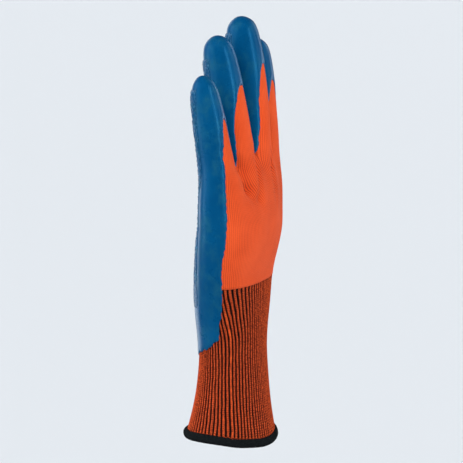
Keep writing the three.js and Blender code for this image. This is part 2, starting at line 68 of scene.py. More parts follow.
# up, wide, thick, coat, side, back, arch, square, thenar, cleft
handRows = [
    (0, 0.887, 1.02, 1.11, -0.018, 0.055, 0.02, 2.37, 0.03, 0),
    (0.095, 0.918, 1.03, 1.14, -0.015, 0.08, 0.06, 2.4, 0.05, 0),
    (0.28, 0.96, 1.05, 1.09, -0.01, 0.145, 0.25, 2.5, 0.1, 0),
    (0.485, 0.98, 0.99, 1.02, -0.005, 0.215, 0.5, 2.5, 0.03, 0.035),
    (0.74, 0.99, 0.91, 0.98, 0, 0.25, 0.85, 2.5, 0, 0.09),
]
fingers = [
    {
        "place": 1.5, "length": 0.64, "width": 0.91, "thick": 0.99, "point": 0.26, "spread": 0.09,
        "curl": 0.14, "bow": 1.5, "arch": 0.26, "edge": 41, "foot": 0.098, "dip": 0.89,
    },
    {
        "place": 0.5, "length": 0.89, "width": 0.97, "thick": 1.05, "point": 0.04, "spread": 0.03,
        "curl": 0.175, "bow": 1.4, "arch": 0.7, "edge": 66, "foot": 0.021, "dip": 1.08,
    },
    {
        "place": -0.5, "length": 1.0, "width": 1.0, "thick": 1.09, "point": 0.02, "spread": -0.01,
        "curl": 0.12, "bow": 1.9, "arch": 1.0, "edge": 42, "foot": 0, "dip": 0.96,
    },
    {
        "place": -1.5, "length": 0.81, "width": 0.97, "thick": 1.02, "point": 0, "spread": -0.05,
        "curl": 0.11, "bow": 1.5, "arch": 0.63, "edge": 46, "foot": 0.032, "dip": 0.88,
    },
]
# along, less, girth, tip
fingerRings = [(0.27, 0, 1, 0), (1, 0.52, 0.98, 0.6), (1, 0.11, 0.62, 1)]
thumbRings = [(0.26, 0, 1.08, 0), (1, 0.52, 1, 0.6), (1, 0.11, 0.64, 1)]
cornerSwell, tipOvershoot, thenarStart = 1.05, 2.25, 0.5
palmArch = {"fall": 0.85, "thumbward": 0.2, "level": 0.6, "fingers": 0.075}
crotch = {"outer": 0.36, "lift": 1.04, "webLift": 0.72, "outerLift": 0.7, "turn": 45}
thumbFoot = {"out": 0.6, "palmward": 0.2, "up": 0.32, "waleStep": 8}
thumbShape = {"point": 0, "edge": 48, "dip": 1}
stations = [0.93, 0.735, 0.49, 0.245, 0, -0.245, -0.49, -0.735, -0.93]

columns = 2 * len(stations) + 2
cleftColumns = (3, 5, 7)
sideU, sideR = 0, len(stations) + 1
ringTurns = [90, 45, 0, 45, 90, 135, 180, 135]
sideAngle, farReach = 66, 200
cagePoints, cageFaces, tube = [], [], []


def lerp(a, b, t):
    return a + (b - a) * t


def swell(n):
    # how much larger a cage ring of n points is than the smooth ring it gives
    return 6 / (4 + 2 * math.cos(2 * math.pi / n))


def backColumn(i):
    return 1 + i


def palmColumn(i):
    return columns - 1 - i


def addPoint(x, y, z, turn, reach, edge, row, wale, course):
    cagePoints.append((x, y, z, turn, reach, edge, row, wale, course))
    return len(cagePoints) - 1


def archAt(x):
    # the arch of the back across the hand, highest a little to the thumb's side of the middle
    share = x / (glove["handWidth"] / 2) + palmArch["thumbward"]
    return 1 - palmArch["fall"] * share * share


def superPoint(share, facing, width, thickness, square):
    # a cage point of the hand's section, at a share of its half width
    a, b = swell(columns) * width / 2, swell(columns) * thickness / 2
    return share * a, facing * b * (1 - abs(share) ** square) ** (1 / square)


# How far each column lies from the little-finger edge, round the knuckles, which spaces the knit's wales.
walk = [superPoint(s, 1, glove["handWidth"], glove["handThickness"], 2.5) for s in (1, *stations, -1)]
waleAt = [0.0]
for here, there in zip(walk, walk[1:]):
    waleAt.append(waleAt[-1] + math.dist(here, there))


def tubeRow(z, width, thickness, coatShare, side, back, arch, square, thenar, cleft):
    row = len(tube)
    ring = []
    order = [(1, 0)] + [(s, 1) for s in stations] + [(-1, 0)] + [(s, -1) for s in reversed(stations)]
    for i, (share, facing) in enumerate(order):
        x, y = superPoint(share, facing, width, thickness, square)
        x += side - thenar * glove["handWidth"] * max(0, (-share - thenarStart) / (1 - thenarStart))
        y += back + arch * glove["handArch"] * (archAt(x) - palmArch["level"])
        if i in cleftColumns:
            y -= cleft * glove["handThickness"]
        turn = math.degrees(math.asin(abs(share)))
        turn = 180 - turn if facing < 0 else turn
        wale = waleAt[min(i, columns - i)]
        ring.append(addPoint(x, y, z, turn, farReach, sideAngle * coatShare, row, wale, z))
    tube.append(ring)


def moved(row):
    return row[0] * glove["handWidth"], row[1] * glove["handThickness"]


footWidth, footThickness = handRows[0][1] * glove["handWidth"], handRows[0][2] * glove["handThickness"]
for up, flare, deep, coatShare, *shift in lowerCuffRows:
    z = lerp(glove["cuffBottom"], glove["wrist"], up)
    width = lerp(glove["wristWidth"], glove["mouthWidth"], flare)
    thickness = lerp(glove["wristThickness"], glove["mouthThickness"], flare) * deep
    tubeRow(z, width, thickness, coatShare, *moved(shift), 0, mouthSquare, 0, 0)
for up, flare, deep, coatShare, *shift in upperCuffRows:
    z = lerp(glove["wrist"], glove["cuff"], up)
    width = lerp(glove["wristWidth"], footWidth, flare * upperFlare)
    thickness = lerp(glove["wristThickness"], footThickness, flare * upperFlare) * deep
    square = lerp(wristSquare, handRows[0][7], up)
    tubeRow(z, width, thickness, coatShare, *moved(shift), 0, square, 0, 0)
ribRow = len(tube)
for up, wide, thick, coatShare, side, back, *rest in handRows:
    z = lerp(glove["cuff"], glove["crotch"], up)
    width, thickness = wide * glove["handWidth"], thick * glove["handThickness"]
    tubeRow(z, width, thickness, coatShare, *moved((side, back)), *rest)


def fingerFoot(f):
    return glove["crotch"] - f["foot"] * glove["palm"]


def fingerTop(f):
    return glove["crotch"] + f["length"] * glove["middle"]


def fingerMiddle(f, along):
    run = fingerTop(f) - fingerFoot(f)
    level = glove["handThickness"] * palmArch["fingers"] + glove["handArch"] * f["arch"]
    return Vector((
        f["place"] * glove["fingerPitch"] + f["spread"] * run * along,
        level - f["curl"] * run * along ** f["bow"],
        fingerFoot(f) + run * along,
    ))


# The crotch row and its three webs.
crotchRow, webs = [None] * columns, []
crotchIndex = len(tube)
for i, s in enumerate(stations):
    own, beside = fingers[min(3, i >> 1)], fingers[max(0, (i - 1) >> 1)]
    middle = (fingerMiddle(own, 0) + fingerMiddle(beside, 0)) / 2
    between = i % 2 == 0 and 0 < i < len(stations) - 1
    outer = crotch["outer"] if i == 0 else -crotch["outer"] if i == len(stations) - 1 else 0
    x = middle.x + outer * glove["fingerPitch"]
    half = swell(8) * glove["fingerThickness"] * (own["thick"] + beside["thick"]) / 4
    lift = crotch["webLift"] if between else crotch["outerLift"] if outer else crotch["lift"]
    turn = crotch["turn"] if between or outer else 0
    drop = glove["cleftDrop"] * glove["palm"] if between else 0
    reach = (fingerTop(own) + fingerTop(beside)) / 2 - middle.z
    data = (reach, (own["edge"] + beside["edge"]) / 2, crotchIndex, waleAt[i + 1], middle.z)
    crotchRow[backColumn(i)] = addPoint(x, middle.y + half * lift, middle.z - drop, turn, *data)
    crotchRow[palmColumn(i)] = addPoint(x, middle.y - half * lift, middle.z, 180 - turn, *data)
    if between:
        webs.append(addPoint(x, middle.y, middle.z - drop / 2, 90, *data))
for column, f, out in ((sideU, fingers[0], 0.5), (sideR, fingers[3], -0.5)):
    m = fingerMiddle(f, 0)
    data = (fingerTop(f) - m.z, f["edge"], crotchIndex, waleAt[column], m.z)
    crotchRow[column] = addPoint(m.x + out * glove["fingerPitch"], m.y, m.z, 90, *data)
tube.append(crotchRow)

holeFoot = ribRow + 1
holeTop = holeFoot + 2
for row in range(len(tube) - 1):
    for c in range(columns):
        if holeFoot <= row < holeTop and c in (sideR - 1, sideR):
            continue
        n = (c + 1) % columns
        cageFaces.append((tube[row][c], tube[row][n], tube[row + 1][n], tube[row + 1][c]))


def growFinger(loop, rings, width, thickness, length, shape, wales, frameAt):
    # rings of eight points and a tip, grown from a loop of points on the hand
    point, edge, spare = shape["point"], shape["edge"], glove["tipDepth"] * (1 - shape["dip"])
    a, b = swell(8) * width / 2, swell(8) * thickness / 2
    places = [along - less * width / length for along, less, *_ in rings]
    below = loop
    for along, (*_, girth, tip) in zip(places, rings):
        middle, first, back = frameAt(along)
        girth *= 1 - tip * point
        reach = length * (1 - along) + spare
        ring = []
        for j in range(8):
            angle = math.radians(90 - 45 * j)
            corner = cornerSwell if j % 2 else 1
            sideways = math.sin(angle) * a * girth * corner
            upwards = math.cos(angle) * b * girth * corner
            at = middle + first * sideways + back * upwards
            ring.append(addPoint(*at, ringTurns[j], reach, edge, crotchIndex, wales[j], middle.z))
        for j in range(8):
            n = (j + 1) % 8
            cageFaces.append((below[j], below[n], ring[n], ring[j]))
        below = ring
    last = places[-1]
    middle = frameAt(last + (1 - last) * tipOvershoot)[0]
    tip = addPoint(*middle, 90, spare, edge, crotchIndex, wales[2], middle.z)
    for j in range(0, 8, 2):
        cageFaces.append((below[j], below[j + 1], below[(j + 2) % 8], tip))


def fingerFrame(f):
    def frameAt(along):
        near = min(along, 1)
        ahead = (fingerMiddle(f, near + 0.05) - fingerMiddle(f, near - 0.05)).normalized()
        back = ahead.cross(Vector((1, 0, 0))).normalized()
        return fingerMiddle(f, along), back.cross(ahead).normalized(), back
    return frameAt


def ringWales(first, middle, last):
    side = 6
    return [first - side, first, middle, last, last + side, last, middle, first]


for i, f in enumerate(fingers):
    loop = [
        crotchRow[sideU] if i == 0 else webs[i - 1],
        *(crotchRow[backColumn(2 * i + k)] for k in range(3)),
        crotchRow[sideR] if i == 3 else webs[i],
        *(crotchRow[palmColumn(2 * i + k)] for k in (2, 1, 0)),
    ]
    length = fingerTop(f) - fingerFoot(f)
    wales = ringWales(*(waleAt[1 + 2 * i + k] for k in range(3)))
    size = f["width"] * glove["fingerWidth"], f["thick"] * glove["fingerThickness"]
    growFinger(loop, fingerRings, *size, length, f, wales, fingerFrame(f))

thumbStart = Vector((
    -thumbFoot["out"] * glove["handWidth"],
    -thumbFoot["palmward"] * glove["handThickness"],
    lerp(glove["cuff"], glove["crotch"], thumbFoot["up"]),
))


def thumbFrame(along):
    lean = math.radians(glove["thumbSpread"] - glove["thumbBend"] * along)
    aim = Vector((-math.sin(lean), -glove["thumbPalmward"], math.cos(lean))).normalized()
    back = aim.cross(Vector((math.cos(lean), 0, math.sin(lean)))).normalized()
    roll = math.radians(glove["thumbRoll"] * along)
    back = back * math.cos(roll) + aim.cross(back) * math.sin(roll)
    return thumbStart + aim * (glove["thumb"] * along), back.cross(aim).normalized(), back


thumbLoop = [
    tube[row][column]
    for row, column in (
        (holeTop, sideR), (holeTop, sideR - 1), (holeFoot + 1, sideR - 1), (holeFoot, sideR - 1),
        (holeFoot, sideR), (holeFoot, sideR + 1), (holeFoot + 1, sideR + 1), (holeTop, sideR + 1),
    )
]
thumbWales = ringWales(*(waleAt[9] + thumbFoot["waleStep"] * k for k in range(3)))
thumbSize = glove["thumbWidth"], glove["thumbThickness"], glove["thumb"]
growFinger(thumbLoop, thumbRings, *thumbSize, thumbShape, thumbWales, thumbFrame)
cageData = np.array(cagePoints)
print("cage:", len(cagePoints), "points", len(cageFaces), "faces")


def makeObject(name, points, faces):
    mesh = bpy.data.meshes.new(name)
    mesh.from_pydata((np.asarray(points) / 1000).tolist(), [], [tuple(map(int, f)) for f in faces])
    mesh.update()
    piece = bpy.data.objects.new(name, mesh)
    bpy.context.scene.collection.objects.link(piece)
    return piece


def makeActive(piece):
    bpy.ops.object.select_all(action="DESELECT")
    piece.select_set(True)
    bpy.context.view_layer.objects.active = piece


def applyModifier(piece, kind, **settings):
    makeActive(piece)
    modifier = piece.modifiers.new(kind.title(), kind)
    for key, value in settings.items():
        setattr(modifier, key, value)
    bpy.ops.object.modifier_apply(modifier=modifier.name)


def readVectors(mesh, what):
    out = np.zeros(len(mesh.vertices) * 3)
    mesh.vertices.foreach_get(what, out)
    return out.reshape(-1, 3)


def smoothCage(levels):
    # A twin cage has three of the other values of each point as its place, so that they are smoothed alike.
    smoothing = {
        "levels": levels, "render_levels": levels, "use_limit_surface": True, "boundary_smooth": "ALL",
    }
    parts = []
    for start in (0, 3, 6):
        twin = makeObject("cage", cageData[:, start : start + 3], cageFaces)
        applyModifier(twin, "SUBSURF", **smoothing)
        parts.append(readVectors(twin.data, "co") * 1000)
        if start == 0:
            normals = readVectors(twin.data, "normal")
            quads = np.zeros(len(twin.data.polygons) * 4, int)
            twin.data.polygons.foreach_get("vertices", quads)
        bpy.data.objects.remove(twin)
    at, (turn, reach, edge), (row, wale, course) = parts[0], parts[1].T, parts[2].T
    return {
        "at": at, "normal": normals, "quads": quads.reshape(-1, 4),
        "turn": turn, "reach": reach, "edge": edge, "row": row, "wale": wale, "course": course,
    }


# Each use of the noise has a shift of its own.
seeds = {
    "uneven": 3.1, "open": 6.6, "scallop": 1.7, "coatWave": 5.2, "tooth": 8.8, "ragged": 2.9, "heel": 7.3,
    "crinkle": 4.4, "wander": 6.1, "kink": 9.3, "rib": 2.2, "hem": 7.7,
}


def roughness3(points, size, seed, octaves=1):
    # smooth noise between -1 and 1, with features of about the given size
    out = np.zeros(len(points))
    for k in range(octaves):
        scale = 2**k / size
        out += [
            noise.noise((x * scale + seed, y * scale - seed, z * scale + 2 * seed)) / 2**k
            for x, y, z in points
        ]
    return out


fine = smoothCage(4)
broad = smoothCage(3)
print("surface:", len(fine["at"]), "and", len(broad["at"]), "points")

# Folds shared by all layers. Each crease runs from one wale and height to another: first the creases
# down the back from the crotches, then the dents in the coat.
folds = {
    "unevenDepth": 0.28, "unevenSize": 16, "unevenRise": 20, "dorsal": (95, 80),
    "sag": 2.4, "backTilt": 0.073, "saddle": 4.1, "tiltHeight": 34,
}
creases = [
    {"from": (32, 184), "to": (35, 166), "depth": (3.0, 3.3), "width": 2.7},
    {"from": (35, 166), "to": (43, 145), "depth": (3.3, 0.0), "width": 4.0},
    {"from": (52, 186), "to": (45, 158), "depth": (3.0, 1.8), "width": 2.8},
    {"from": (45, 158), "to": (48, 142), "depth": (1.8, 0.0), "width": 4.2},
    {"from": (75, 206), "to": (70, 176), "depth": (2.0, 3.0), "width": 2.5},
    {"from": (70, 176), "to": (67, 150), "depth": (3.0, 0.5), "width": 3.0},
    {"from": (24, 174), "to": (28, 158), "depth": (-1.2, 0.0), "width": 4.5},
    {"from": (43, 176), "to": (42, 160), "depth": (-1.0, 0.0), "width": 4.0},
    {"from": (12, 201), "to": (13, 198), "depth": (0.5, 0.5), "width": 1.7},
    {"from": (11, 193), "to": (12, 190), "depth": (0.45, 0.45), "width": 1.9},
]


def smoothStep(x, low, high):
    t = np.clip((x - low) / (high - low), 0, 1)
    return t * t * (3 - 2 * t)


def foldSurface(s):
    lift = folds["unevenDepth"] * roughness3(s["at"], folds["unevenSize"], seeds["uneven"])
    lift *= np.clip((s["at"][:, 2] - glove["cuff"]) / folds["unevenRise"], 0, 1)
    place = np.stack([s["wale"], s["course"]], axis=1)
    dorsal = smoothStep(s["turn"], *folds["dorsal"])
    for crease in creases:
        start, end = np.array(crease["from"]), np.array(crease["to"])
        along = np.clip((place - start) @ (end - start) / ((end - start) @ (end - start)), 0, 1)
        away = np.linalg.norm(place - start - along[:, None] * (end - start), axis=1)
        lift -= lerp(*crease["depth"], along) * np.exp(-((away / crease["width"]) ** 2)) * dorsal
    s["at"] = s["at"] + s["normal"] * lift[:, None]
    share = smoothStep(s["at"][:, 2], folds["tiltHeight"], 0)
    edgeward = 2 * s["at"][:, 0] / glove["mouthWidth"]
    drop = folds["sag"] + folds["backTilt"] * s["at"][:, 1] - folds["saddle"] * edgeward**2
    s["at"][:, 2] -= drop * share


foldSurface(fine)
foldSurface(broad)


def cutSheet(surface, value):
    # the part of the surface where value is above 0, as polygons over points between two vertices;
    # a cut that comes nearer to a vertex than snap goes through it
    snap = 0.12
    quads = surface["quads"]
    value = value.copy()
    ends = np.concatenate([quads[:, [k, (k + 1) % 4]] for k in range(4)])
    a, b = value[ends[:, 0]], value[ends[:, 1]]
    crossing = a * b < 0
    share = a / np.where(crossing, a - b, 1)
    value[ends[crossing & (share < snap), 0]] = 0
    value[ends[crossing & (share > 1 - snap), 1]] = 0
    above = value > 0
    some = above[quads].any(axis=1)
    low, high, along, index, faces = [], [], [], {}, []

    def place(i, j, t):
        key = (i, j) if i < j else (j, i)
        if key not in index:
            index[key] = len(low)
            low.append(i)
            high.append(j)
            along.append(t)
        return index[key]

    for quad in quads[some].tolist():
        values = [value[v] for v in quad]
        face = []
        for k in range(4):
            i, j = quad[k], quad[(k + 1) % 4]
            vi, vj = values[k], values[(k + 1) % 4]
            if vi >= 0:
                face.append(place(i, i, 0))
            if vi * vj < 0:
                face.append(place(i, j, vi / (vi - vj)))
        if len(face) > 2:
            faces.append(face)
    low, high, along = np.array(low), np.array(high), np.array(along)
    pick = {}
    for key, data in surface.items():
        if key == "quads":
            continue
        t = along[:, None] if data.ndim == 2 else along
        pick[key] = data[low] * (1 - t) + data[high] * t
    pick["value"] = value[low] * (1 - along) + value[high] * along
    pick["normal"] /= np.linalg.norm(pick["normal"], axis=1)[:, None]
    return pick, faces


def toLength(surface, field):
    # a field divided by its own slope: about the distance in mm from where it is 0
    quads = surface["quads"]
    slope = np.zeros(len(field))
    for k in range(4):
        i, j = quads[:, k], quads[:, (k + 1) % 4]
        rate = np.abs(field[i] - field[j]) / np.linalg.norm(surface["at"][i] - surface["at"][j], axis=1)
        np.maximum.at(slope, i, rate)
        np.maximum.at(slope, j, rate)
    return field / np.maximum(slope, 1e-3)


def layPiece(name, sheet, faces, height, foot):
    # a skin at a height above the surface, whose rim runs down to the foot
    at, normal = sheet["at"], sheet["normal"]
    top = at + normal * height[:, None]
    bottom = at + normal * foot
    open_ = {}
    for f in faces:
        for i, j in zip(f, f[1:] + f[:1]):
            if open_.pop((j, i), None) is None:
                open_[(i, j)] = True
    rim = sorted({i for pair in open_ for i in pair})
    below = {v: len(at) + k for k, v in enumerate(rim)}
    skirt = [(j, i, below[i], below[j]) for i, j in open_]
    points = np.concatenate([top, bottom[rim]])
    return makeObject(name, points, faces + skirt)


def putStitches(piece, wale, course):
    layer = piece.data.uv_layers.new(name="stitches")
    loops = np.zeros(len(piece.data.loops), int)
    piece.data.loops.foreach_get("vertex_index", loops)
    uv = np.stack([wale, course], axis=1)[loops]
    layer.data.foreach_set("uv", uv.ravel())


# Materials.
def newMaterial(name, **values):
    material = bpy.data.materials.new(name)
    material.use_nodes = True
    tree = material.node_tree
    shader = tree.nodes["Principled BSDF"]
    for key, value in values.items():
        shader.inputs[key].default_value = value
    return material, tree, shader


def node(tree, kind, inputs=(), **settings):
    made = tree.nodes.new(kind)
    for key, value in settings.items():
        setattr(made, key, value)
    for key, value in dict(inputs).items():
        if isinstance(value, bpy.types.NodeSocket):
            tree.links.new(value, made.inputs[key])
        else:
            made.inputs[key].default_value = value
    return made


def sums(tree, operation, a, b=0.0, c=0.0):
    return node(tree, "ShaderNodeMath", {0: a, 1: b, 2: c}, operation=operation).outputs[0]


def blendColours(tree, share, a, b):
    mix = node(tree, "ShaderNodeMix", {0: share, 6: a, 7: b}, data_type="RGBA")
    return mix.outputs[2]


def cloud(tree, coordinates, scale, detail=2.0, roughness=0.5):
    values = {"Vector": coordinates, "Scale": scale, "Detail": detail, "Roughness": roughness}
    return node(tree, "ShaderNodeTexNoise", values).outputs["Fac"]


def ramp(tree, value, low, high):
    made = node(tree, "ShaderNodeMapRange", {"Value": value, "From Min": low, "From Max": high})
    return made.outputs["Result"]


def bumpFrom(tree, shader, height, strength, distance):
    made = node(tree, "ShaderNodeBump", {"Height": height, "Strength": strength, "Distance": distance})
    tree.links.new(made.outputs["Normal"], shader.inputs["Normal"])


# How far a leg of a stitch slants, and how much the legs and the loops are raised.
stitch = {"slant": 1.5, "legs": 0.4, "loops": 0.22}


def stitchHeight(tree, u, v):
    # stocking stitch: two slanted legs in each wale, one loop to each course, deepest between the wales
    cell = sums(tree, "FRACT", u)
    legs = sums(tree, "ABSOLUTE", sums(tree, "SINE", sums(tree, "MULTIPLY", cell, 2 * math.pi)))
    between = sums(tree, "SINE", sums(tree, "MULTIPLY", cell, math.pi))
    fromMiddle = sums(tree, "ABSOLUTE", sums(tree, "SUBTRACT", cell, 0.5))
    slanted = sums(tree, "MULTIPLY_ADD", fromMiddle, stitch["slant"], v)
    loops = sums(tree, "COSINE", sums(tree, "MULTIPLY", slanted, 2 * math.pi))
    raised = sums(tree, "MULTIPLY_ADD", legs, stitch["legs"], 1 - stitch["legs"])
    wale = sums(tree, "MULTIPLY", between, raised)
    course = sums(tree, "MULTIPLY_ADD", loops, stitch["loops"], 1 - stitch["loops"])
    return sums(tree, "MULTIPLY", wale, course)


# Knit colours: the deep colour is painted shade for the low parts between the stitches; the light colour is a
# lighter tone spread at random.
orangeKnitLook = {
    "wale": 1.5, "course": 1.15, "wander": 0.5, "wanderGrain": (90, 2), "gapShadeRange": (0.1, 0.55),
    "tone": 0.35, "toneGrain": (60, 3), "toneRange": (0.35, 0.7),
    "fuzz": 0.3, "fuzzGrain": (2500, 3), "bump": (0.55, 0.00035),
    "colour": (0.68, 0.072, 0.0155, 1), "deep": (0.14, 0.008, 0.004, 1), "light": (0.78, 0.1, 0.025, 1),
    "shader": {
        "Roughness": 0.9, "Specular IOR Level": 0.1,
        "Sheen Weight": 0.08, "Sheen Roughness": 0.5, "Sheen Tint": (1, 0.4, 0.2, 1),
    },
}


def stitchPlace(tree):
    # the wale or rib, and the height, that putStitches gave each point
    uv = node(tree, "ShaderNodeSeparateXYZ", {0: node(tree, "ShaderNodeUVMap", uv_map="stitches").outputs[0]})
    return uv.outputs["X"], uv.outputs["Y"]


def objectPlace(tree):
    return node(tree, "ShaderNodeTexCoord").outputs["Object"]


def attributeOf(tree, name):
    return node(tree, "ShaderNodeAttribute", attribute_name=name).outputs["Fac"]


def orangeKnit():
    look = orangeKnitLook
    material, tree, shader = newMaterial("orangeKnit", **look["shader"])
    across, up = stitchPlace(tree)
    place = objectPlace(tree)
    wander = sums(tree, "SUBTRACT", cloud(tree, place, *look["wanderGrain"]), 0.5)
    wander = sums(tree, "MULTIPLY", wander, look["wander"])
    u = sums(tree, "ADD", sums(tree, "DIVIDE", across, look["wale"]), wander)
    v = sums(tree, "DIVIDE", up, look["course"])
    height = stitchHeight(tree, u, v)
    # Painted shade: the low parts between the stitches are darkened towards the deep colour, as strongly as
    # the point attribute from the knit shell says.
    gap = sums(tree, "SUBTRACT", 1.0, ramp(tree, height, *look["gapShadeRange"]))
    gap = sums(tree, "MULTIPLY", gap, attributeOf(tree, "open"))
    base = blendColours(tree, gap, look["colour"], look["deep"])
    tone = ramp(tree, cloud(tree, place, *look["toneGrain"]), *look["toneRange"])
    tone = sums(tree, "MULTIPLY", tone, look["tone"])
    tree.links.new(blendColours(tree, tone, base, look["light"]), shader.inputs["Base Color"])
    fuzz = cloud(tree, place, *look["fuzzGrain"])
    bumpFrom(tree, shader, sums(tree, "MULTIPLY_ADD", fuzz, look["fuzz"], height), *look["bump"])
    return material


# Rib colours: the bright orange also serves as the painted highlight on the fold; the dark brown is both the
# heathered yarn's specks and painted shade on the ribs' sides and between the stitches; the black is the yarn
# in the valleys.
ribLook = {
    "stitch": 1.2, "edge": 0.25, "ridge": (0.34, 0.28), "fuzz": 0.4, "bump": (0.6, 0.0003),
    "speckGrain": (1500, 2, 0.7), "streakGrain": (160, 3, 0.7), "streakRange": (0.42, 0.76),
    "foldHighlight": 0.9, "speckTone": 0.5, "toneRange": (0.3, 0.75),
    "stitchLight": 0.45, "ridgeLight": -0.5, "lightRange": (0.52, 0.86),
    "orange": (0.44, 0.058, 0.018, 1), "bright": (0.85, 0.11, 0.022, 1),
    "heatherAndShade": (0.07, 0.012, 0.006, 1), "black": (0.006, 0.003, 0.003, 1),
    "shader": {"Roughness": 0.95, "Specular IOR Level": 0.03},
}


def plaitedRib():
    look = ribLook
    material, tree, shader = newMaterial("plaitedRib", **look["shader"])
    rib, up = stitchPlace(tree)
    place = objectPlace(tree)
    speck = cloud(tree, place, *look["speckGrain"])
    streak = ramp(tree, cloud(tree, place, *look["streakGrain"]), *look["streakRange"])
    shifted = sums(tree, "ADD", rib, 0.5)
    fromRidge = sums(tree, "ABSOLUTE", sums(tree, "SUBTRACT", sums(tree, "FRACT", shifted), 0.5))
    height = stitchHeight(tree, shifted, sums(tree, "DIVIDE", up, look["stitch"]))
    edge = sums(tree, "MULTIPLY_ADD", sums(tree, "SUBTRACT", speck, 0.5), look["edge"], fromRidge)
    ridge = ramp(tree, edge, *look["ridge"])
    # Painted highlight: along the fold the orange is lightened towards the bright orange and lifted out of
    # the dark brown, in streaks.
    foldHighlightMask = sums(tree, "MULTIPLY", attributeOf(tree, "fold"), streak)
    tone = sums(tree, "MULTIPLY", ramp(tree, speck, *look["toneRange"]), look["speckTone"])
    tone = sums(tree, "MULTIPLY_ADD", foldHighlightMask, look["foldHighlight"], tone)
    orange = blendColours(tree, tone, look["orange"], look["bright"])
    # Painted light and shade: the raised stitch legs are lighter and the rib's sides darker, mixed with the
    # random dark specks of the heathered yarn.
    light = sums(tree, "MULTIPLY", fromRidge, look["ridgeLight"])
    light = sums(tree, "MULTIPLY_ADD", height, look["stitchLight"], light)
    light = ramp(tree, sums(tree, "ADD", speck, light), *look["lightRange"])
    lit = sums(tree, "MAXIMUM", light, foldHighlightMask)
    shadedHeather = blendColours(tree, lit, look["heatherAndShade"], orange)
    tree.links.new(blendColours(tree, ridge, look["black"], shadedHeather), shader.inputs["Base Color"])
    bumpFrom(tree, shader, sums(tree, "MULTIPLY_ADD", speck, look["fuzz"], height), *look["bump"])
    return material


latexLook = {
    "colour": (0.0005, 0.06, 0.156, 1), "deep": (0.0, 0.05, 0.138, 1), "pale": (0.01, 0.086, 0.142, 1),
    "patchGrain": (38, 4, 0.6), "patchRange": (0.42, 0.62),
    "stain": 0.7, "stainGrain": (95, 5, 0.7), "stainRange": (0.48, 0.7),
    "smearGrain": (70, 4, 0.6), "roughness": (-0.2, 2.1),
    "fineShare": 0.25, "fineGrain": (1500, 2), "coarseGrain": (220, 3), "grainBump": (0.18, 0.0006),
    # Pale flecks painted on the crinkle as its glints: a painted highlight.
    "paintedGlint": (0.13, 0.33, 0.47, 1), "paintedGlintShare": 0.33,
    "paintedGlintGrain": (560, 3, 0.7), "paintedGlintRange": (0.52, 0.68),
    "foldGrain": (420, 3, 0.6), "foldSlope": 5.0, "ridgeBump": (0.7, 0.0007),
    "smooth": {"Specular IOR Level": 0.34, "Specular Tint": (0.1, 0.58, 1.0, 1)},
    "crinkled": {"Roughness": 0.24, "Specular IOR Level": 0.5, "Specular Tint": (0.4, 0.75, 1.0, 1)},
}


def latexColour(tree, place):
    look = latexLook
    patch = ramp(tree, cloud(tree, place, *look["patchGrain"]), *look["patchRange"])
    base = blendColours(tree, patch, look["deep"], look["colour"])
    stain = ramp(tree, cloud(tree, place, *look["stainGrain"]), *look["stainRange"])
    return blendColours(tree, sums(tree, "MULTIPLY", stain, look["stain"]), base, look["pale"])


def smoothLatex():
    look = latexLook
    material, tree, shader = newMaterial("smoothLatex", **look["smooth"])
    place = objectPlace(tree)
    tree.links.new(latexColour(tree, place), shader.inputs["Base Color"])
    smear = cloud(tree, place, *look["smearGrain"])
    tree.links.new(ramp(tree, smear, *look["roughness"]), shader.inputs["Roughness"])
    grain = cloud(tree, place, *look["coarseGrain"])
    grain = sums(tree, "MULTIPLY_ADD", cloud(tree, place, *look["fineGrain"]), look["fineShare"], grain)
    bumpFrom(tree, shader, grain, *look["grainBump"])
    return material


def crinkledLatex():
    look = latexLook
    material, tree, shader = newMaterial("crinkledLatex", **look["crinkled"])
    place = objectPlace(tree)
    # Painted highlight: pale flecks over the crinkle stand in for its glints.
    paintedGlint = ramp(tree, cloud(tree, place, *look["paintedGlintGrain"]), *look["paintedGlintRange"])
    paintedGlint = sums(tree, "MULTIPLY", paintedGlint, look["paintedGlintShare"])
    colour = blendColours(tree, paintedGlint, latexColour(tree, place), look["paintedGlint"])
    tree.links.new(colour, shader.inputs["Base Color"])
    fold = sums(tree, "SUBTRACT", cloud(tree, place, *look["foldGrain"]), 0.5)
    fold = sums(tree, "MULTIPLY", sums(tree, "ABSOLUTE", fold), look["foldSlope"])
    ridge = sums(tree, "SUBTRACT", 1.0, fold)
    bumpFrom(tree, shader, ridge, *look["ridgeBump"])
    return material


threadLook = {
    "dark": (0.002, 0.0026, 0.003, 1), "light": (0.014, 0.017, 0.018, 1),
    "speckGrain": (1800, 3, 0.7), "speckRange": (0.4, 0.75), "bump": (0.8, 0.0004),
    "shader": {"Roughness": 0.95, "Specular IOR Level": 0.06},
}


def blackThread():
    look = threadLook
    material, tree, shader = newMaterial("blackThread", **look["shader"])
    speck = cloud(tree, objectPlace(tree), *look["speckGrain"])
    colour = blendColours(tree, ramp(tree, speck, *look["speckRange"]), look["dark"], look["light"])
    tree.links.new(colour, shader.inputs["Base Color"])
    bumpFrom(tree, shader, speck, *look["bump"])
    return material


def finishPiece(piece, material, slotName, *nodes):
    piece.data.materials.append(material)
    piece.data.shade_smooth()
    piece.data.update()
    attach(piece, "root")
    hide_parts(*nodes)


